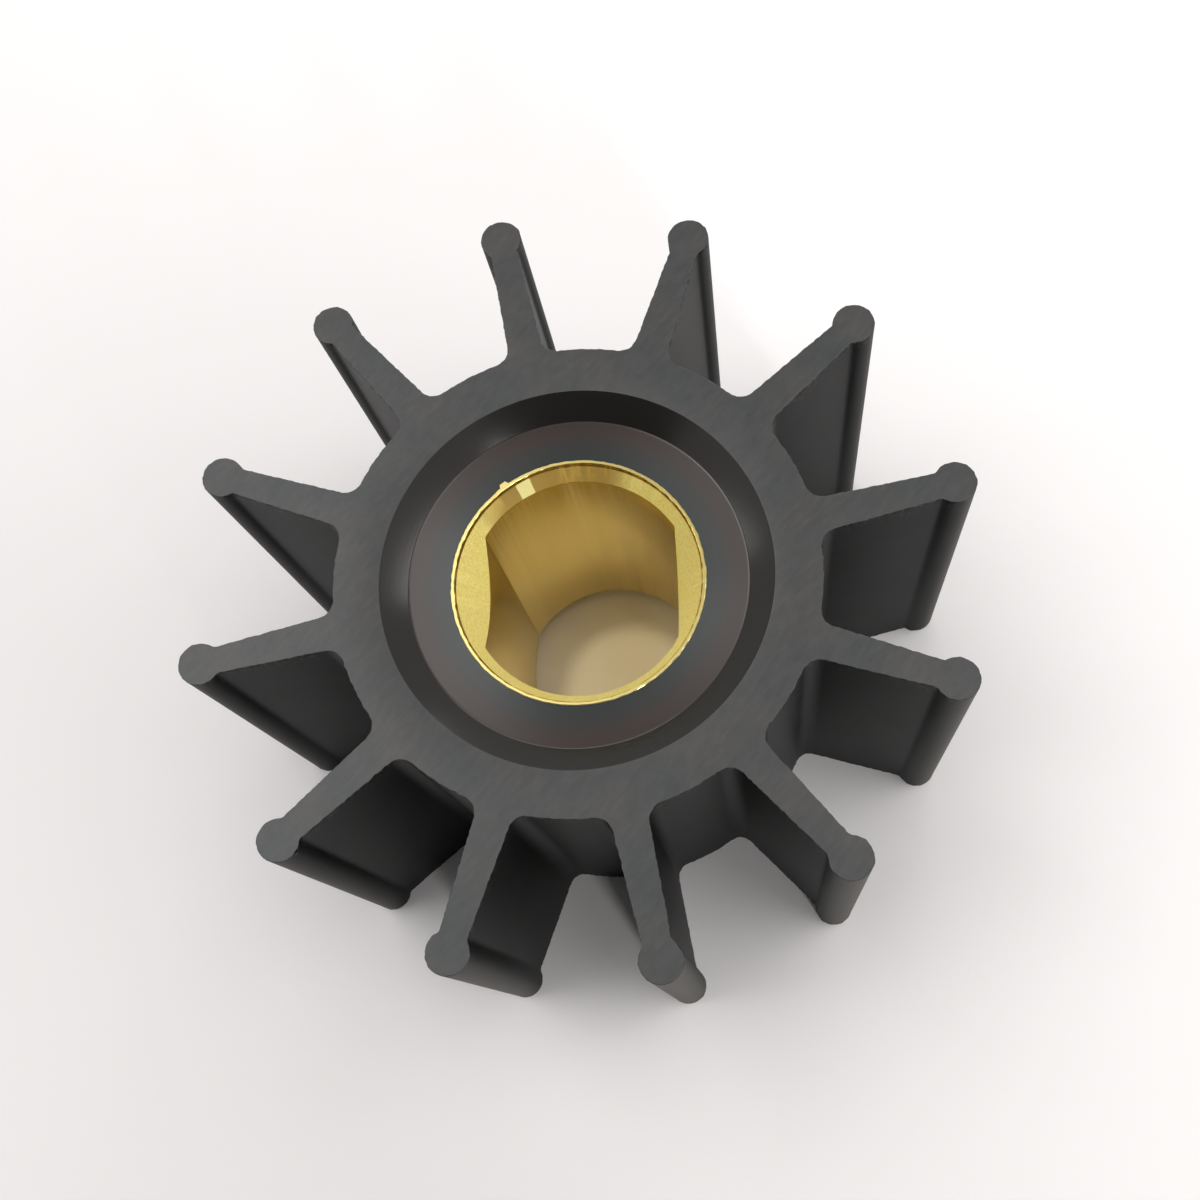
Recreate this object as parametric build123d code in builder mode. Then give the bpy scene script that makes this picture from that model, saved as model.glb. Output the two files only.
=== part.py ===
"""Flexible-blade impeller for a small marine raw-water pump.

A rubber hub with straight radial blades, each ending in a round bead, is moulded round a
turned sleeve with a double-flat bore. Both ends are alike, so the impeller can be fitted
either way round. Millimetres. The origin is on the shaft axis at the lower end face, +Z runs
along the shaft, and two of the gaps between blades lie along X.
"""

import os
from math import radians, sqrt, tan

from build123d import *

# Whole impeller
width = 31.75
tip_diameter = 57.0

# Blades: a web that tapers outwards, and a bead that rubs on the pump's bore
blade_count = 12
web_root_thickness = 2.56
web_neck_thickness = 1.96
bead_overhang = 0.52
root_fillet = 1.25
bead_fillet = 0.5

# Bore for the pump shaft, with two drive flats and a countersunk mouth at each end
bore_diameter = 16.0
flat_depth = 1.15
flats_angle = 4.0
lip_width = 0.25
lip_depth = 0.35
countersink_angle = 60.0

# Sleeve: it stands just proud of the recess floors, and has plain collars at its ends, with
# ribs between them that key it into the rubber
sleeve_wall = 1.05
sleeve_proud = 0.1
collar_length = 3.2
rib_count = 12
rib_width = 2.2
rib_height = 1.0

# Rubber hub: at each end a shallow recess with a flat floor round the sleeve and a sloping
# wall, and outside it the rim that the end face of the hub is left with
recess_floor_width = 3.0
recess_wall_angle = 50.0
recess_depth = 1.5
recess_corner_radius = 0.3
rim_width = 3.3

# How far a cutter runs past what it cuts
cut_overrun = 0.5

# Worked out from the sizes above
across_flats = bore_diameter - 2 * flat_depth
sleeve_radius = bore_diameter / 2 + sleeve_wall
recess_floor_radius = sleeve_radius + recess_floor_width
recess_mouth_radius = recess_floor_radius + recess_depth * tan(radians(recess_wall_angle))
hub_radius = recess_mouth_radius + rim_width
bead_radius = web_neck_thickness / 2 + bead_overhang
bead_centre = tip_diameter / 2 - bead_radius
sleeve_end = recess_depth - sleeve_proud
sleeve_length = width - 2 * sleeve_end
rib_length = sleeve_length - 2 * collar_length
mouth_radius = sleeve_radius - lip_width
countersink_end_radius = across_flats / 2 - cut_overrun
countersink_depth = (mouth_radius - countersink_end_radius) / tan(radians(countersink_angle / 2))
on_its_base = (Align.CENTER, Align.CENTER, Align.MIN)
mid_plane = Plane.XY.offset(width / 2)

# The first blade stands half a pitch from X, and the web's sides run straight from inside the
# hub to the neck, where they meet the bead
first_blade_angle = 180 / blade_count
neck_half = web_neck_thickness / 2
neck_radius = bead_centre - sqrt(bead_radius**2 - neck_half**2)
web_start = hub_radius - web_root_thickness / 2
web_taper = (web_root_thickness / 2 - neck_half) / (neck_radius - hub_radius)
web_start_half = web_root_thickness / 2 + web_taper * (hub_radius - web_start)


# Outside of the sleeve: one solid that both the sleeve and its seat in the rubber come from
with BuildPart() as sleeve_outside:
    with BuildSketch(Plane.XY.offset(sleeve_end)):
        Circle(sleeve_radius)
    extrude(amount=sleeve_length)
    with BuildSketch(Plane.XY.offset(sleeve_end + collar_length)):
        with PolarLocations(sleeve_radius, rib_count, start_angle=flats_angle):
            Rectangle(2 * rib_height, rib_width)
    extrude(amount=rib_length)


# Recess of the lower end, as the solid that is cut away, rounded at the foot of its wall
with BuildPart() as recess:
    Cone(recess_mouth_radius, recess_floor_radius, recess_depth, align=on_its_base)
    fillet(recess.faces().sort_by(Axis.Z)[-1].edges(), recess_corner_radius)


# One blade, pointing along +X
with BuildSketch() as blade:
    with BuildLine():
        Line((web_start, -web_start_half), (neck_radius, -neck_half))
        ThreePointArc((neck_radius, -neck_half), (tip_diameter / 2, 0), (neck_radius, neck_half))
        Line((neck_radius, neck_half), (web_start, web_start_half))
        Line((web_start, web_start_half), (web_start, -web_start_half))
    make_face()


# Rubber hub and blades, moulded as one piece
with BuildPart() as rubber_body:
    with BuildSketch() as outline:
        Circle(hub_radius)
        with PolarLocations(0, blade_count, start_angle=first_blade_angle):
            add(blade.sketch)
        roots = outline.vertices().group_by(SortBy.DISTANCE)[0]
        fillet(roots, root_fillet)
        necks = outline.vertices().group_by(SortBy.DISTANCE)[-1]
        fillet(necks, bead_fillet)
    extrude(amount=width)

    # Recess at each end, and the seat of the sleeve between them
    add(recess.part, mode=Mode.SUBTRACT)
    mirror(recess.part, about=mid_plane, mode=Mode.SUBTRACT)
    Cylinder(sleeve_radius, width, align=on_its_base, mode=Mode.SUBTRACT)
    add(sleeve_outside.part, mode=Mode.SUBTRACT)


# Brass sleeve with the shaft's double-flat bore
with BuildPart() as brass_insert:
    add(sleeve_outside.part)
    with BuildSketch():
        Circle(bore_diameter / 2)
        Rectangle(across_flats, bore_diameter, rotation=flats_angle, mode=Mode.INTERSECT)
    extrude(amount=width, mode=Mode.SUBTRACT)

    # Lip and countersink at each mouth of the bore
    with Locations((0, 0, sleeve_end)):
        lip = Cylinder(mouth_radius, lip_depth, align=on_its_base, mode=Mode.SUBTRACT)
    with Locations((0, 0, sleeve_end + lip_depth)):
        countersink = Cone(
            mouth_radius,
            countersink_end_radius,
            countersink_depth,
            align=on_its_base,
            mode=Mode.SUBTRACT,
        )
    mirror([lip, countersink], about=mid_plane, mode=Mode.SUBTRACT)


rubber_body.part.label = "rubber_body"
brass_insert.part.label = "brass_insert"

os.makedirs("parts", exist_ok=True)
export_step(rubber_body.part, "parts/rubber_body.step")
export_step(brass_insert.part, "parts/brass_insert.step")
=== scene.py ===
from math import atan2, cos, hypot, pi, radians, sin, sqrt, tan

import bpy
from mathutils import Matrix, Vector


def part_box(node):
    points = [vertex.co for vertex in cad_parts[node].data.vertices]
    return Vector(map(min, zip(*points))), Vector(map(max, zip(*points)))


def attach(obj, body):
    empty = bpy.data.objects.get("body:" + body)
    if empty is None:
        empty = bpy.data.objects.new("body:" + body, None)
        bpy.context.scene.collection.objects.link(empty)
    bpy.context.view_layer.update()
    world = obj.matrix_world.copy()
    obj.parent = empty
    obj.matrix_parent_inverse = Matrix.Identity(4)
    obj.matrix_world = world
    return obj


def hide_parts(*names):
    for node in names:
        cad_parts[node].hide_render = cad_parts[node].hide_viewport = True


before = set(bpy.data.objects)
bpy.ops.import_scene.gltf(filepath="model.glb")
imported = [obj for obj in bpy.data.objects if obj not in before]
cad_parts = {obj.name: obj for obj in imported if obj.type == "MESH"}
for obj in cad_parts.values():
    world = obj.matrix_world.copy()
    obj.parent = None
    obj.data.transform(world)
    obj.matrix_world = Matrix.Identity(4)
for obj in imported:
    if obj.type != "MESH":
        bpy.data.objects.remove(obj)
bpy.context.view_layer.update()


# Brass sleeve: turned from bar with a countersunk mouth and a thin lip at each end, then
# broached with the two drive flats. Twelve ribs between its plain collars hold it in the
# rubber. The upper half is modelled and mirrored about the middle of the impeller.
mm = 0.001
body_low, body_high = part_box("rubber_body")
sleeve_low, sleeve_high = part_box("brass_insert")
top_z = body_high.z
middle_z = (body_low.z + body_high.z) / 2
sleeve_top = sleeve_high.z
sleeve_radius = 9.05 * mm
collar_length = 3.2 * mm
rib_count = 12
rib_width = 2.2 * mm
rib_height = 1.0 * mm
flats_turn = radians(4.0)
bore_radius = 8.0 * mm
flat_distance = 6.85 * mm
drill_radius = 6.5 * mm
lip_width = 0.25 * mm
lip_depth = 0.35 * mm
lip_round = 0.04 * mm
lip_slant = 0.09 * mm
countersink_slope = radians(30.0)
bore_edge = 0.07 * mm
lip_wear = 0.14 * mm
wear_grain = 0.38 * mm
round_steps = 384
merge_gap = 0.001 * mm
smooth_below = radians(15)


def work_on(piece):
    """Makes the piece the only one selected, and the active one."""
    bpy.ops.object.select_all(action="DESELECT")
    piece.select_set(True)
    bpy.context.view_layer.objects.active = piece


def start_outline(name, place):
    """A new object holding one selected vertex, in edit mode, from which an outline is drawn."""
    bpy.ops.object.select_all(action="DESELECT")
    bpy.ops.mesh.primitive_plane_add(size=mm, location=place)
    drawn = bpy.context.object
    drawn.name = name
    bpy.ops.object.mode_set(mode="EDIT")
    bpy.ops.mesh.select_mode(type="VERT")
    bpy.ops.mesh.merge(type="CENTER")
    return drawn


def draw_through(places):
    """Extrudes the selected vertex from the first place through the rest."""
    for here, there in zip(places, places[1:]):
        step = Vector(there) - Vector(here)
        bpy.ops.mesh.extrude_region_move(TRANSFORM_OT_translate={"value": step})


def turn_on_lathe():
    """Spins the whole outline once round the shaft axis and closes the seam."""
    bpy.ops.mesh.select_all(action="SELECT")
    bpy.ops.mesh.spin(steps=round_steps, angle=2 * pi, center=(0, 0, 0), axis=(0, 0, 1))
    bpy.ops.mesh.select_all(action="SELECT")
    bpy.ops.mesh.remove_doubles(threshold=merge_gap)


def settle(piece):
    """Puts the piece's origin at the frame's, with its place in its mesh."""
    bpy.ops.object.mode_set(mode="OBJECT")
    work_on(piece)
    bpy.ops.object.transform_apply(location=True, rotation=True, scale=True)


def pick_faces(piece, wanted):
    """Selects the faces whose centre and normal pass the test, in edit mode."""
    work_on(piece)
    bpy.ops.object.mode_set(mode="EDIT")
    bpy.ops.mesh.select_mode(type="FACE")
    bpy.ops.mesh.select_all(action="DESELECT")
    bpy.ops.object.mode_set(mode="OBJECT")
    for face in piece.data.polygons:
        face.select = wanted(face.center, face.normal)
    bpy.ops.object.mode_set(mode="EDIT")


def pick_corners(piece, wanted):
    """Selects the vertices whose place passes the test, in edit mode."""
    work_on(piece)
    bpy.ops.object.mode_set(mode="EDIT")
    bpy.ops.mesh.select_mode(type="VERT")
    bpy.ops.mesh.select_all(action="DESELECT")
    bpy.ops.object.mode_set(mode="OBJECT")
    for corner in piece.data.vertices:
        corner.select = wanted(corner.co)
    bpy.ops.object.mode_set(mode="EDIT")


def face_outwards(piece):
    """Turns the faces of a closed piece outwards."""
    work_on(piece)
    bpy.ops.object.mode_set(mode="EDIT")
    bpy.ops.mesh.select_all(action="SELECT")
    bpy.ops.mesh.normals_make_consistent(inside=False)
    bpy.ops.object.mode_set(mode="OBJECT")


def mirror_down(piece):
    """Makes the lower half, the mirror image of the upper one about the middle."""
    bpy.ops.object.empty_add(location=(0, 0, middle_z))
    middle = bpy.context.object
    work_on(piece)
    both = piece.modifiers.new("both_ends", "MIRROR")
    both.use_axis = (False, False, True)
    both.mirror_object = middle
    both.merge_threshold = merge_gap
    bpy.ops.object.modifier_apply(modifier=both.name)
    bpy.data.objects.remove(middle)
    face_outwards(piece)


def round_of(place):
    """How far a place lies from the shaft axis."""
    return hypot(place.x, place.y)


def is_upright(normal):
    """Whether a face stands along the shaft, as a wall does."""
    return abs(normal.z) < 0.3


def is_broached(place, normal):
    """Whether a face belongs to the bore, to one of its round parts or its flats."""
    return round_of(place) < bore_radius + bore_edge and is_upright(normal)


def grow_ribs(piece, height):
    """Draws the ribs out of the cylinder where the rubber and the sleeve meet."""
    pitch = 2 * pi / rib_count
    ribs_end = sleeve_top - collar_length - middle_z

    def under_rib(place, normal):
        turn = (atan2(place.y, place.x) - flats_turn + pitch / 2) % pitch - pitch / 2
        on_seat = abs(round_of(place) - sleeve_radius) < lip_round and is_upright(normal)
        beside = abs(turn) * sleeve_radius < rib_width / 2
        return on_seat and beside and abs(place.z - middle_z) < ribs_end

    pick_faces(piece, under_rib)
    bpy.ops.mesh.extrude_region_shrink_fatten(TRANSFORM_OT_shrink_fatten={"value": height})
    bpy.ops.object.mode_set(mode="OBJECT")


def wear_edges(piece, near_edge, depth, grain):
    """Makes the edges that near_edge weighs slightly ragged, by depth, in steps of grain."""
    edges = piece.vertex_groups.new(name="edges")
    for corner in piece.data.vertices:
        edges.add([corner.index], near_edge(corner.co), "REPLACE")
    work_on(piece)
    for direction, pattern in (("X", "BLENDER_ORIGINAL"), ("Y", "IMPROVED_PERLIN")):
        rough = bpy.data.textures.new(piece.name + "_wear_" + direction, "CLOUDS")
        rough.noise_scale = grain
        rough.noise_depth = 3
        rough.noise_basis = pattern
        worn = piece.modifiers.new("wear", "DISPLACE")
        worn.texture = rough
        worn.texture_coords = "LOCAL"
        worn.direction = direction
        worn.vertex_group = "edges"
        worn.strength = depth
        worn.mid_level = 0.5
        bpy.ops.object.modifier_apply(modifier=worn.name)
        bpy.data.textures.remove(rough)
    piece.vertex_groups.remove(piece.vertex_groups["edges"])


mouth_radius = sleeve_radius - lip_width
lip_foot = mouth_radius - lip_slant
countersink_depth = (lip_foot - drill_radius) / tan(countersink_slope)
lip_z = sleeve_top - lip_depth
sleeve = start_outline("sleeve", (drill_radius, 0, middle_z))
draw_through([
    (drill_radius, 0, middle_z),
    (drill_radius, 0, lip_z - countersink_depth),
    (lip_foot, 0, lip_z),
    (mouth_radius, 0, sleeve_top - lip_round),
    (mouth_radius + lip_round, 0, sleeve_top),
    (sleeve_radius - lip_round, 0, sleeve_top),
    (sleeve_radius, 0, sleeve_top - lip_round),
    (sleeve_radius, 0, sleeve_top - lip_width),
    (sleeve_radius, 0, sleeve_top - collar_length),
    (sleeve_radius, 0, middle_z),
])
turn_on_lathe()
settle(sleeve)
mirror_down(sleeve)
grow_ribs(sleeve, rib_height)

# The broach is a round bar with a flat on two sides, longer than the sleeve
bpy.ops.object.select_all(action="DESELECT")
bpy.ops.mesh.primitive_cylinder_add(
    vertices=round_steps, radius=bore_radius, depth=2 * middle_z, location=(0, 0, middle_z)
)
broach = bpy.context.object
bpy.ops.object.mode_set(mode="EDIT")
for side in (1, -1):
    away = Vector((cos(flats_turn), sin(flats_turn), 0)) * side
    bpy.ops.mesh.select_all(action="SELECT")
    bpy.ops.mesh.bisect(
        plane_co=away * flat_distance,
        plane_no=away,
        use_fill=True,
        clear_outer=True,
        threshold=merge_gap,
    )
settle(broach)
face_outwards(broach)
work_on(sleeve)
cut = sleeve.modifiers.new("broaching", "BOOLEAN")
cut.operation = "DIFFERENCE"
cut.solver = "EXACT"
cut.object = broach
bpy.ops.object.modifier_apply(modifier=cut.name)
bpy.data.objects.remove(broach)

# The broached faces' edges are blunted, and the lip is left slightly ragged by the tool
pick_faces(sleeve, is_broached)
bpy.ops.mesh.region_to_loop()
bpy.ops.mesh.bevel(offset=bore_edge, offset_type="OFFSET", segments=2, affect="EDGES")
bpy.ops.object.mode_set(mode="OBJECT")


def near_lip(place):
    """Weighs the end faces of the sleeve and their edges fully, and all else not at all."""
    end_gap = min(sleeve_top - place.z, place.z - sleeve_low.z)
    return 1.0 if end_gap < 2 * lip_round and round_of(place) > mouth_radius - lip_round else 0.0


wear_edges(sleeve, near_lip, lip_wear, wear_grain)

# On the upper lip the tool has left a burr that leans out over the rubber
burr_turn = radians(129)
burr_reach = radians(2.2)
burr_step = 0.28 * mm


def on_burr(place):
    """Whether a corner of the lip's outer edge is part of the burr."""
    beside = abs(atan2(place.y, place.x) - burr_turn) < burr_reach
    on_lip = place.z > sleeve_top - 2 * lip_round
    return beside and on_lip and round_of(place) > sleeve_radius - lip_width / 2


pick_corners(sleeve, on_burr)
bpy.ops.transform.translate(value=Vector((cos(burr_turn), sin(burr_turn), 0)) * burr_step)
bpy.ops.object.mode_set(mode="OBJECT")
work_on(sleeve)
bpy.ops.object.shade_smooth_by_angle(angle=smooth_below)


def add_node(tree, kind, **values):
    """A new node, with each value set on the node itself or else on the input of that name."""
    node = tree.nodes.new(kind)
    for name, value in values.items():
        if hasattr(node, name):
            setattr(node, name, value)
        else:
            node.inputs[name.replace("_", " ")].default_value = value
    return node


def start_group(name, inputs, outputs):
    """A node group with float, vector or colour sockets, and its two end nodes."""
    group = bpy.data.node_groups.new(name, "ShaderNodeTree")
    for direction, sockets in (("INPUT", inputs), ("OUTPUT", outputs)):
        for label, (kind, value) in sockets.items():
            socket = group.interface.new_socket(label, in_out=direction, socket_type=kind)
            if value is not None:
                socket.default_value = value
    return group, group.nodes.new("NodeGroupInput"), group.nodes.new("NodeGroupOutput")


def place_group(tree, group, **values):
    """The group as a node of this material, with its inputs set."""
    node = tree.nodes.new("ShaderNodeGroup")
    node.node_tree = group
    for name, value in values.items():
        node.inputs[name.replace("_", " ")].default_value = value
    return node


number = "NodeSocketFloat"
colour = "NodeSocketColor"

# Tool marks that run round the shaft axis, as a lathe leaves them, and the distance from it
lathe_marks, given, made = start_group(
    "lathe_marks",
    {"Marks per metre": (number, 4000.0)},
    {"Height": (number, None), "Radius": (number, None)},
)
seat = add_node(lathe_marks, "ShaderNodeTexCoord")
flat = add_node(lathe_marks, "ShaderNodeVectorMath", operation="MULTIPLY")
flat.inputs[1].default_value = (1, 1, 0)
radius = add_node(lathe_marks, "ShaderNodeVectorMath", operation="LENGTH")
marks = add_node(lathe_marks, "ShaderNodeTexNoise", noise_dimensions="1D", Detail=3.0, Roughness=0.6)
lathe_marks.links.new(seat.outputs["Object"], flat.inputs[0])
lathe_marks.links.new(flat.outputs["Vector"], radius.inputs[0])
lathe_marks.links.new(radius.outputs["Value"], marks.inputs["W"])
lathe_marks.links.new(given.outputs["Marks per metre"], marks.inputs["Scale"])
lathe_marks.links.new(marks.outputs["Fac"], made.inputs["Height"])
lathe_marks.links.new(radius.outputs["Value"], made.inputs["Radius"])

# Soft patches that change a colour slowly over a surface
colour_patches, given, made = start_group(
    "colour_patches",
    {"Dark": (colour, None), "Light": (colour, None), "Patches per metre": (number, 200.0)},
    {"Colour": (colour, None)},
)
seat = add_node(colour_patches, "ShaderNodeTexCoord")
clouds = add_node(colour_patches, "ShaderNodeTexNoise", Detail=4.0, Roughness=0.55)
spread = add_node(colour_patches, "ShaderNodeMapRange", From_Min=0.35, From_Max=0.65)
blend = add_node(colour_patches, "ShaderNodeMix", data_type="RGBA")
colour_patches.links.new(seat.outputs["Object"], clouds.inputs["Vector"])
colour_patches.links.new(given.outputs["Patches per metre"], clouds.inputs["Scale"])
colour_patches.links.new(clouds.outputs["Fac"], spread.inputs["Value"])
colour_patches.links.new(spread.outputs["Result"], blend.inputs["Factor"])
colour_patches.links.new(given.outputs["Dark"], blend.inputs["A"])
colour_patches.links.new(given.outputs["Light"], blend.inputs["B"])
colour_patches.links.new(blend.outputs["Result"], made.inputs["Colour"])


def start_finish(name, metallic=0.0, roughness=0.5):
    """A new material with its Principled shader, ready for its own pattern."""
    finish = bpy.data.materials.new(name)
    finish.use_nodes = True
    shader = finish.node_tree.nodes["Principled BSDF"]
    shader.inputs["Metallic"].default_value = metallic
    shader.inputs["Roughness"].default_value = roughness
    return finish, finish.node_tree, shader


# Turned brass: bright, with a fine sandy grain left by the tool. On one side it is more metallic and
# more like a mirror, and its colour there is darker as painted shade
# Bearing and reach of the side whose colour is painted shade, and which is also more metallic and
# glossier
shaded_side_middle = radians(108)
shaded_side_reach = radians(42)
shaded_side_full = 0.7 * shaded_side_reach
turned_brass, tree, shader = start_finish("turned_brass")
patches = place_group(
    tree,
    colour_patches,
    Dark=(0.93, 0.75, 0.19, 1),
    Light=(1.0, 0.92, 0.37, 1),
    Patches_per_metre=6000.0,
)
seat = add_node(tree, "ShaderNodeTexCoord")
flat = add_node(tree, "ShaderNodeVectorMath", operation="MULTIPLY")
flat.inputs[1].default_value = (1, 1, 0)
bearing = add_node(tree, "ShaderNodeVectorMath", operation="NORMALIZE")
facing = add_node(tree, "ShaderNodeVectorMath", operation="DOT_PRODUCT")
facing.inputs[1].default_value = (cos(shaded_side_middle), sin(shaded_side_middle), 0)
tree.links.new(seat.outputs["Object"], flat.inputs[0])
tree.links.new(flat.outputs["Vector"], bearing.inputs[0])
tree.links.new(bearing.outputs["Vector"], facing.inputs[0])
shaded_side_maps = {}
for socket, plain, shaded_side_value in (
    ("Metallic", 0.35, 0.85),
    ("Roughness", 0.5, 0.34),
    ("Factor", 0.0, 1.0),
):
    shaded_side_maps[socket] = add_node(
        tree,
        "ShaderNodeMapRange",
        From_Min=cos(shaded_side_reach),
        From_Max=cos(shaded_side_full),
        To_Min=plain,
        To_Max=shaded_side_value,
    )
    tree.links.new(facing.outputs["Value"], shaded_side_maps[socket].inputs["Value"])
# Painted shade: the darker brass colour blended in on that side
tint = add_node(tree, "ShaderNodeMix", data_type="RGBA")
tint.inputs["B"].default_value = (0.93, 0.74, 0.30, 1)
grain = add_node(tree, "ShaderNodeTexNoise", Scale=7000.0, Detail=2.0)
bump = add_node(tree, "ShaderNodeBump", Strength=0.8, Distance=0.03 * mm)
tree.links.new(patches.outputs["Colour"], tint.inputs["A"])
tree.links.new(shaded_side_maps["Factor"].outputs["Result"], tint.inputs["Factor"])
tree.links.new(tint.outputs["Result"], shader.inputs["Base Color"])
tree.links.new(shaded_side_maps["Metallic"].outputs["Result"], shader.inputs["Metallic"])
tree.links.new(shaded_side_maps["Roughness"].outputs["Result"], shader.inputs["Roughness"])
tree.links.new(seat.outputs["Object"], grain.inputs["Vector"])
tree.links.new(grain.outputs["Fac"], bump.inputs["Height"])
tree.links.new(bump.outputs["Normal"], shader.inputs["Normal"])

# Brass of the lip, rubbed smooth, and a bright patch on the countersink that is a painted highlight
highlight_start = radians(117)
highlight_end = radians(125)
lip_brass, tree, shader = start_finish("lip_brass", metallic=1.0, roughness=0.3)
shader.inputs["Base Color"].default_value = (0.88, 0.72, 0.27, 1)
# Painted highlight: a bright, bare-looking brass colour on a narrow part of the countersink
painted_highlight_brass, tree, shader = start_finish("painted_highlight_brass", metallic=0.0, roughness=0.3)
shader.inputs["Base Color"].default_value = (1.0, 0.94, 0.42, 1)

# Broached brass: smoother and more golden, with faint streaks along the shaft
broached_brass, tree, shader = start_finish("broached_brass", metallic=1.0, roughness=0.24)
seat = add_node(tree, "ShaderNodeTexCoord")
along = add_node(tree, "ShaderNodeMapping", Scale=(1.0, 1.0, 0.03))
streaks = add_node(tree, "ShaderNodeTexNoise", Scale=900.0, Detail=4.0, Roughness=0.6)
tint = add_node(tree, "ShaderNodeMix", data_type="RGBA")
tint.inputs["A"].default_value = (0.80, 0.63, 0.21, 1)
tint.inputs["B"].default_value = (0.93, 0.77, 0.31, 1)
bump = add_node(tree, "ShaderNodeBump", Strength=0.15, Distance=0.02 * mm)
tree.links.new(seat.outputs["Object"], along.inputs["Vector"])
tree.links.new(along.outputs["Vector"], streaks.inputs["Vector"])
tree.links.new(streaks.outputs["Fac"], tint.inputs["Factor"])
tree.links.new(tint.outputs["Result"], shader.inputs["Base Color"])
tree.links.new(streaks.outputs["Fac"], bump.inputs["Height"])
tree.links.new(bump.outputs["Normal"], shader.inputs["Normal"])


def dress(piece, finishes, which):
    """Gives the piece its finishes, and each face the one that which picks."""
    piece.data.materials.clear()
    for finish in finishes:
        piece.data.materials.append(finish)
    for face in piece.data.polygons:
        face.material_index = finishes.index(which(face.center, face.normal))


def brass_finish(place, normal):
    """The rubbed lip, the bore and the lip's inner wall, the painted highlight on the countersink, or
    plain turned brass.
    """
    away = round_of(place)
    if away > mouth_radius and abs(place.z - middle_z) > sleeve_top - lip_round - middle_z:
        return lip_brass
    if is_broached(place, normal) or lip_foot < away < mouth_radius:
        return broached_brass
    on_upper_slope = place.z > middle_z and not is_upright(normal)
    in_painted_highlight = highlight_start < atan2(place.y, place.x) < highlight_end
    return painted_highlight_brass if in_painted_highlight and on_upper_slope else turned_brass


dress(sleeve, [turned_brass, broached_brass, lip_brass, painted_highlight_brass], brass_finish)
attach(sleeve, "root")
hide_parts("brass_insert")


# Rubber hub and blades: one moulding in black rubber round the sleeve. Each blade is a web
# that tapers outwards and ends in a round bead, and both end faces are ground flat. Half of
# one blade's outline is drawn, mirrored, and repeated round the shaft.
blade_count = 12
tip_radius = 28.5 * mm
web_root_half = 1.28 * mm
web_neck_half = 0.98 * mm
bead_radius = 1.5 * mm
root_fillet = 1.25 * mm
neck_fillet = 0.5 * mm
floor_radius = 12.05 * mm
recess_depth = 1.5 * mm
recess_slope = radians(50.0)
recess_corner = 0.3 * mm
rim_width = 3.3 * mm
recess_corner_steps = 5
ground_edge = 0.05 * mm
rim_wear = 0.17 * mm
worn_depth = 0.2 * mm
outline_spacing = 0.14 * mm
wall_levels = [0.12 * mm, 0.3 * mm, 0.8 * mm, 2 * mm, 5 * mm, 9 * mm, 13 * mm]

recess_mouth = floor_radius + recess_depth * tan(recess_slope)
hub_radius = recess_mouth + rim_width
blade_pitch = 2 * pi / blade_count


def draw_round(centre, here, there):
    """Spins the selected vertex from here round the centre to there, the shorter way."""
    start, end = here - centre, there - centre
    turn = atan2(start.cross(end), start.dot(end))
    steps = max(2, round(abs(turn) * start.length / outline_spacing))
    bpy.ops.mesh.spin(steps=steps, angle=-turn, center=(*centre, top_z), axis=(0, 0, 1))


def fillet_centre(across, other, other_radius, outwards):
    """The centre of a fillet of radius across that touches the web's side and another round."""
    along = (other - neck).dot(web_side)
    off = across - (other - neck).dot(web_normal)
    reach = sqrt((other_radius + across) ** 2 - off**2)
    return neck + web_side * (along + outwards * reach) + web_normal * across


axis = Vector((0, 0))
bead_centre = Vector((tip_radius - bead_radius, 0))
neck = Vector((bead_centre.x - sqrt(bead_radius**2 - web_neck_half**2), web_neck_half))
web_side = (Vector((hub_radius, web_root_half)) - neck).normalized()
web_normal = Vector((web_side.y, -web_side.x))
neck_centre = fillet_centre(neck_fillet, bead_centre, bead_radius, 1)
root_centre = fillet_centre(root_fillet, axis, hub_radius, -1)
tip = Vector((tip_radius, 0))
bead_end = bead_centre + (neck_centre - bead_centre).normalized() * bead_radius
web_outer = neck_centre - web_normal * neck_fillet
web_inner = root_centre - web_normal * root_fillet
hub_start = root_centre.normalized() * hub_radius
hub_end = Vector((cos(blade_pitch / 2), sin(blade_pitch / 2))) * hub_radius

rubber = start_outline("rubber", (*tip, top_z))
draw_round(bead_centre, tip, bead_end)
draw_round(neck_centre, bead_end, web_outer)
web_steps = round((web_inner - web_outer).length / outline_spacing)
draw_through([(*web_outer.lerp(web_inner, step / web_steps), top_z) for step in range(web_steps + 1)])
draw_round(root_centre, web_inner, hub_start)
draw_round(axis, hub_start, hub_end)
bpy.ops.mesh.select_all(action="SELECT")
bpy.ops.mesh.duplicate_move()
bpy.ops.transform.resize(value=(1, -1, 1), center_override=(0, 0, top_z))
bpy.ops.mesh.select_all(action="SELECT")
bpy.ops.transform.rotate(value=-blade_pitch / 2, orient_axis="Z", center_override=(0, 0, top_z))
bpy.ops.mesh.spin(steps=blade_count, dupli=True, angle=2 * pi, center=(0, 0, top_z), axis=(0, 0, 1))
bpy.ops.mesh.select_all(action="SELECT")
bpy.ops.mesh.remove_doubles(threshold=merge_gap)
settle(rubber)

# Side walls, drawn down from the end face to the middle in bands that are finest at the rim
bpy.ops.object.mode_set(mode="EDIT")
bpy.ops.mesh.select_mode(type="EDGE")
bpy.ops.mesh.select_all(action="SELECT")
depths = [0, *wall_levels, top_z - middle_z]
for above, below in zip(depths, depths[1:]):
    bpy.ops.mesh.extrude_region_move(TRANSFORM_OT_translate={"value": (0, 0, above - below)})
bpy.ops.object.mode_set(mode="OBJECT")

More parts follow.
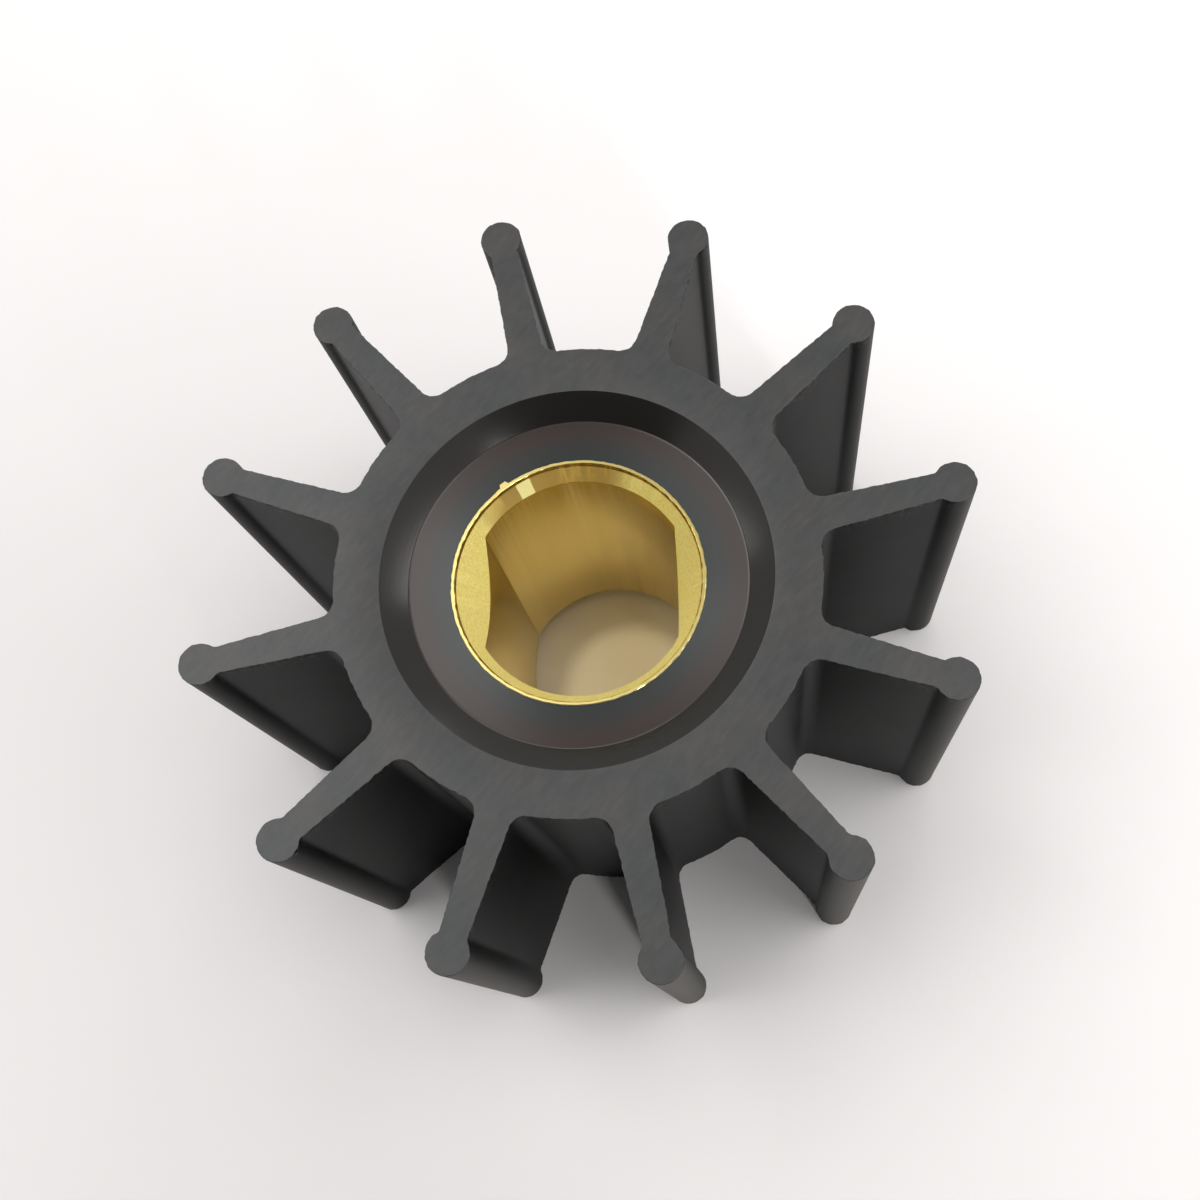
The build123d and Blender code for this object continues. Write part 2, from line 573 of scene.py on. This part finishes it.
# Recess, with a small round where its wall meets the floor, and the seat of the sleeve
floor_z = top_z - recess_depth
rise = pi / 2 - recess_slope
corner_x = floor_radius - recess_corner * tan(rise / 2)
corner_turns = [rise * step / recess_corner_steps for step in range(recess_corner_steps, -1, -1)]
recess = start_outline("recess", (recess_mouth, 0, top_z))
draw_through([
    (recess_mouth, 0, top_z),
    *[
        (corner_x + recess_corner * sin(turn), 0, floor_z + recess_corner * (1 - cos(turn)))
        for turn in corner_turns
    ],
    (sleeve_radius, 0, floor_z),
    (sleeve_radius, 0, sleeve_top - collar_length),
    (sleeve_radius, 0, middle_z),
])
turn_on_lathe()
settle(recess)
rubber.select_set(True)
bpy.context.view_layer.objects.active = rubber
bpy.ops.object.join()

# Ground end face, filled between the outline and the mouth of the recess, with blunted edges
pick_corners(rubber, lambda place: place.z > top_z - merge_gap)
bpy.ops.mesh.select_mode(type="EDGE")
bpy.ops.mesh.fill(use_beauty=True)
bpy.ops.object.mode_set(mode="OBJECT")
face_outwards(rubber)
pick_faces(rubber, lambda place, normal: place.z > top_z - merge_gap)
bpy.ops.mesh.region_to_loop()
bpy.ops.mesh.bevel(offset=ground_edge, offset_type="OFFSET", segments=2, affect="EDGES")
bpy.ops.object.mode_set(mode="OBJECT")
mirror_down(rubber)
grow_ribs(rubber, -rib_height)


def near_rim(place):
    """Weighs the outer edges of the ground faces fully, and the walls just below them half."""
    end_gap = min(top_z - place.z, place.z)
    if round_of(place) < recess_mouth + 2 * ground_edge or end_gap > worn_depth:
        return 0.0
    return 1.0 if end_gap < ground_edge + merge_gap else 0.5


wear_edges(rubber, near_rim, rim_wear, wear_grain)
work_on(rubber)
bpy.ops.object.shade_smooth_by_angle(angle=smooth_below)

# Ground end faces: matt grey, with short strokes of the grinding belt and faint stains
ground_rubber, tree, shader = start_finish("ground_rubber", roughness=0.36)
seat = add_node(tree, "ShaderNodeTexCoord")
along = add_node(
    tree,
    "ShaderNodeMapping",
    vector_type="TEXTURE",
    Rotation=(0, 0, radians(52)),
    Scale=(3.0, 1.0, 1.0),
)
strokes = add_node(tree, "ShaderNodeTexNoise", Scale=2600.0, Detail=4.0, Roughness=0.6)
patches = place_group(
    tree,
    colour_patches,
    Dark=(0.043, 0.045, 0.046, 1),
    Light=(0.057, 0.054, 0.051, 1),
    Patches_per_metre=220.0,
)
depth = add_node(tree, "ShaderNodeMapRange", From_Min=0.3, From_Max=0.7, To_Min=0.84, To_Max=1.16)
shade = add_node(tree, "ShaderNodeVectorMath", operation="SCALE")
bump = add_node(tree, "ShaderNodeBump", Strength=0.5, Distance=0.02 * mm)
tree.links.new(seat.outputs["Object"], along.inputs["Vector"])
tree.links.new(along.outputs["Vector"], strokes.inputs["Vector"])
tree.links.new(strokes.outputs["Fac"], depth.inputs["Value"])
tree.links.new(patches.outputs["Colour"], shade.inputs[0])
tree.links.new(depth.outputs["Result"], shade.inputs["Scale"])
tree.links.new(shade.outputs["Vector"], shader.inputs["Base Color"])
tree.links.new(strokes.outputs["Fac"], bump.inputs["Height"])
tree.links.new(bump.outputs["Normal"], shader.inputs["Normal"])

# Moulded sides: near black and matt, with a faint skin, torn to grey specks by the rims, and paler on
# the outer side of the beads as a painted sheen, standing in for the grazing reflection of the paper
# there
torn_band = 2.0 * mm
moulded_rubber, tree, shader = start_finish("moulded_rubber", roughness=0.5)
shader.inputs["Specular IOR Level"].default_value = 0.12
patches = place_group(
    tree,
    colour_patches,
    Dark=(0.003, 0.003, 0.003, 1),
    Light=(0.006, 0.006, 0.0057, 1),
    Patches_per_metre=250.0,
)
seat = add_node(tree, "ShaderNodeTexCoord")
skin = add_node(tree, "ShaderNodeTexNoise", Scale=1800.0, Detail=4.0)
bump = add_node(tree, "ShaderNodeBump", Strength=0.3, Distance=0.02 * mm)
level = add_node(tree, "ShaderNodeSeparateXYZ")
off_middle = add_node(tree, "ShaderNodeMath", operation="SUBTRACT")
off_middle.inputs[1].default_value = middle_z
to_rim = add_node(tree, "ShaderNodeMath", operation="ABSOLUTE")
near_rims = add_node(tree, "ShaderNodeMapRange", From_Min=middle_z - torn_band, From_Max=middle_z)
specks = add_node(tree, "ShaderNodeTexNoise", Scale=3500.0, Detail=2.0)
torn = add_node(tree, "ShaderNodeMapRange", From_Min=0.58, From_Max=0.72)
share = add_node(tree, "ShaderNodeMath", operation="MULTIPLY")
shade = add_node(tree, "ShaderNodeMix", data_type="RGBA")
shade.inputs["B"].default_value = (0.07, 0.07, 0.065, 1)
tree.links.new(patches.outputs["Colour"], shade.inputs["A"])
tree.links.new(seat.outputs["Object"], level.inputs["Vector"])
tree.links.new(level.outputs["Z"], off_middle.inputs[0])
tree.links.new(off_middle.outputs["Value"], to_rim.inputs[0])
tree.links.new(to_rim.outputs["Value"], near_rims.inputs["Value"])
tree.links.new(seat.outputs["Object"], specks.inputs["Vector"])
tree.links.new(specks.outputs["Fac"], torn.inputs["Value"])
tree.links.new(near_rims.outputs["Result"], share.inputs[0])
tree.links.new(torn.outputs["Result"], share.inputs[1])
tree.links.new(share.outputs["Value"], shade.inputs["Factor"])
# Painted sheen: the colour is made paler towards the tip of each bead
from_axis = place_group(tree, lathe_marks)
tip_sheen_mask = add_node(tree, "ShaderNodeMapRange", From_Min=tip_radius - bead_radius, From_Max=tip_radius)
painted_tip_sheen = add_node(tree, "ShaderNodeMix", data_type="RGBA")
painted_tip_sheen.inputs["B"].default_value = (0.052, 0.047, 0.038, 1)
tree.links.new(from_axis.outputs["Radius"], tip_sheen_mask.inputs["Value"])
tree.links.new(tip_sheen_mask.outputs["Result"], painted_tip_sheen.inputs["Factor"])
tree.links.new(shade.outputs["Result"], painted_tip_sheen.inputs["A"])
tree.links.new(painted_tip_sheen.outputs["Result"], shader.inputs["Base Color"])
tree.links.new(seat.outputs["Object"], skin.inputs["Vector"])
tree.links.new(skin.outputs["Fac"], bump.inputs["Height"])
tree.links.new(bump.outputs["Normal"], shader.inputs["Normal"])

# Wall of the recess: smooth from the mould, glossier than the rest
recess_wall, tree, shader = start_finish("recess_wall", roughness=0.21)
shader.inputs["Base Color"].default_value = (0.012, 0.011, 0.010, 1)
shader.inputs["Specular Tint"].default_value = (1.0, 0.95, 0.93, 1)
marks = place_group(tree, lathe_marks, Marks_per_metre=5000.0)
bump = add_node(tree, "ShaderNodeBump", Strength=0.12, Distance=0.02 * mm)
tree.links.new(marks.outputs["Height"], bump.inputs["Height"])
tree.links.new(bump.outputs["Normal"], shader.inputs["Normal"])

# Floor of the recess: satin, marked round the axis, bluish inside and brownish outside, with
# an uneven change between the two
blue_end = 11.2 * mm
brown_start = 12.8 * mm
tint_spread = 3.0 * mm
recess_floor, tree, shader = start_finish("recess_floor", roughness=0.3)
shader.inputs["Specular IOR Level"].default_value = 0.9
shader.inputs["Anisotropic"].default_value = 0.8
shader.inputs["Anisotropic Rotation"].default_value = 0.25
around = add_node(tree, "ShaderNodeTangent", direction_type="RADIAL", axis="Z")
marks = place_group(tree, lathe_marks, Marks_per_metre=3500.0)
tint = add_node(tree, "ShaderNodeMix", data_type="RGBA")
tint.inputs["A"].default_value = (0.007, 0.012, 0.011, 1)
tint.inputs["B"].default_value = (0.023, 0.010, 0.006, 1)
bump = add_node(tree, "ShaderNodeBump", Strength=0.12, Distance=0.02 * mm)
spread = add_node(tree, "ShaderNodeMapRange", From_Min=blue_end, From_Max=brown_start)
uneven = add_node(tree, "ShaderNodeMath", operation="MULTIPLY_ADD")
uneven.inputs[1].default_value = tint_spread
tree.links.new(around.outputs["Tangent"], shader.inputs["Tangent"])
tree.links.new(marks.outputs["Height"], uneven.inputs[0])
tree.links.new(marks.outputs["Radius"], uneven.inputs[2])
tree.links.new(uneven.outputs["Value"], spread.inputs["Value"])
tree.links.new(spread.outputs["Result"], tint.inputs["Factor"])
tree.links.new(tint.outputs["Result"], shader.inputs["Base Color"])
tree.links.new(marks.outputs["Height"], bump.inputs["Height"])
tree.links.new(bump.outputs["Normal"], shader.inputs["Normal"])


def rubber_finish(place, normal):
    """Outside the recess the ground or moulded rubber, inside it the wall or the floor."""
    lies_level = abs(normal.z) > 0.5
    if round_of(place) > recess_mouth:
        return ground_rubber if lies_level else moulded_rubber
    if round_of(place) > floor_radius:
        return recess_wall
    return recess_floor if lies_level else moulded_rubber


dress(rubber, [moulded_rubber, ground_rubber, recess_wall, recess_floor], rubber_finish)
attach(rubber, "root")
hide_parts("rubber_body")


# Sheet of white paper that the impeller lies on: flat and matt, and far wider than what the
# camera sees of it
paper_width = 3.0
bpy.ops.object.select_all(action="DESELECT")
bpy.ops.mesh.primitive_plane_add(size=paper_width, location=(0, 0, 0))
paper = bpy.context.object
paper.name = "paper"
white_paper, tree, shader = start_finish("white_paper", roughness=0.9)
shader.inputs["Base Color"].default_value = (0.93, 0.90, 0.89, 1)
paper.data.materials.append(white_paper)


# Soft studio light: broad lamps high on the left and the right and lower behind, long strips
# low on both sides that gloss the wall of the recess, and a narrow one in front for its bright
# streak. Black cards keep the near side dark, and the back of the ring round the sleeve.
world = bpy.data.worlds.new("studio")
world.use_nodes = True
world.node_tree.nodes["Background"].inputs["Color"].default_value = (1, 1, 1, 1)
world.node_tree.nodes["Background"].inputs["Strength"].default_value = 0.59
bpy.context.scene.world = world


def aim(azimuth, elevation, distance):
    """A place at a bearing and a height in degrees, and the turn that faces the impeller."""
    turn, rise = radians(azimuth), radians(elevation)
    away = Vector((cos(turn) * cos(rise), sin(turn) * cos(rise), sin(rise)))
    return away * distance, away.to_track_quat("Z", "Y").to_euler()


def add_softbox(name, azimuth, elevation, distance, wide, high, power):
    """A rectangular lamp that faces the impeller."""
    place, turn = aim(azimuth, elevation, distance)
    bpy.ops.object.light_add(type="AREA", location=place, rotation=turn)
    lamp = bpy.context.object
    lamp.name = name
    lamp.data.shape = "RECTANGLE"
    lamp.data.size = wide
    lamp.data.size_y = high
    lamp.data.energy = power


add_softbox("left_window", 170, 60, 1.0, 0.7, 0.54, 3.0)
add_softbox("right_window", 12, 68, 1.0, 0.42, 0.44, 1.35)
add_softbox("back_window", 95, 32, 1.0, 0.9, 0.3, 1.8)
add_softbox("left_strip", 185, 17, 0.8, 0.4, 0.15, 0.4)
add_softbox("right_strip", 358, 27, 0.8, 0.85, 0.2, 1.75)
add_softbox("front_gap", 304, 31, 0.8, 0.08, 0.2, 1.2)

# A warm snoot straight above lights the paper inside the bore and nothing else
snoot_height = 0.45
snoot_reach = 5.7 * mm
bpy.ops.object.light_add(type="SPOT", location=(0.9 * mm, -0.4 * mm, sleeve_top + snoot_height))
snoot = bpy.context.object
snoot.name = "bore_snoot"
snoot.data.spot_size = 2 * atan2(snoot_reach, snoot_height)
snoot.data.spot_blend = 0.25
snoot.data.shadow_soft_size = 1.0 * mm
snoot.data.color = (1.0, 0.84, 0.52)
snoot.data.energy = 1.9

black_card, tree, shader = start_finish("black_card", roughness=0.9)
shader.inputs["Base Color"].default_value = (0.01, 0.01, 0.01, 1)


def add_card(name, azimuth, elevation, distance, wide, high):
    """A black card that faces the impeller, out of the camera's sight."""
    place, turn = aim(azimuth, elevation, distance)
    bpy.ops.mesh.primitive_plane_add(size=1.0, location=place, rotation=turn)
    card = bpy.context.object
    card.name = name
    card.scale = (wide, high, 1.0)
    card.visible_camera = False
    card.data.materials.append(black_card)


add_card("front_card", 260, 32, 0.16, 0.19, 0.22)
add_card("top_card", 103, 66, 0.6, 0.12, 0.3)

bpy.context.scene.view_settings.view_transform = "Standard"

# Camera at the photograph's place, looking down on the upper end face
camera_place = Vector((14.42, -32.02, 129.06)) * mm
camera_turn = (radians(15.833), radians(5.010), radians(2.416))
bpy.ops.object.camera_add(location=camera_place, rotation=camera_turn)
camera = bpy.context.object
camera.data.lens = 44.68
camera.data.sensor_width = 36
camera.data.shift_x = -0.0333
camera.data.shift_y = 0.0333
camera.data.clip_start = 1 * mm
bpy.context.scene.camera = camera
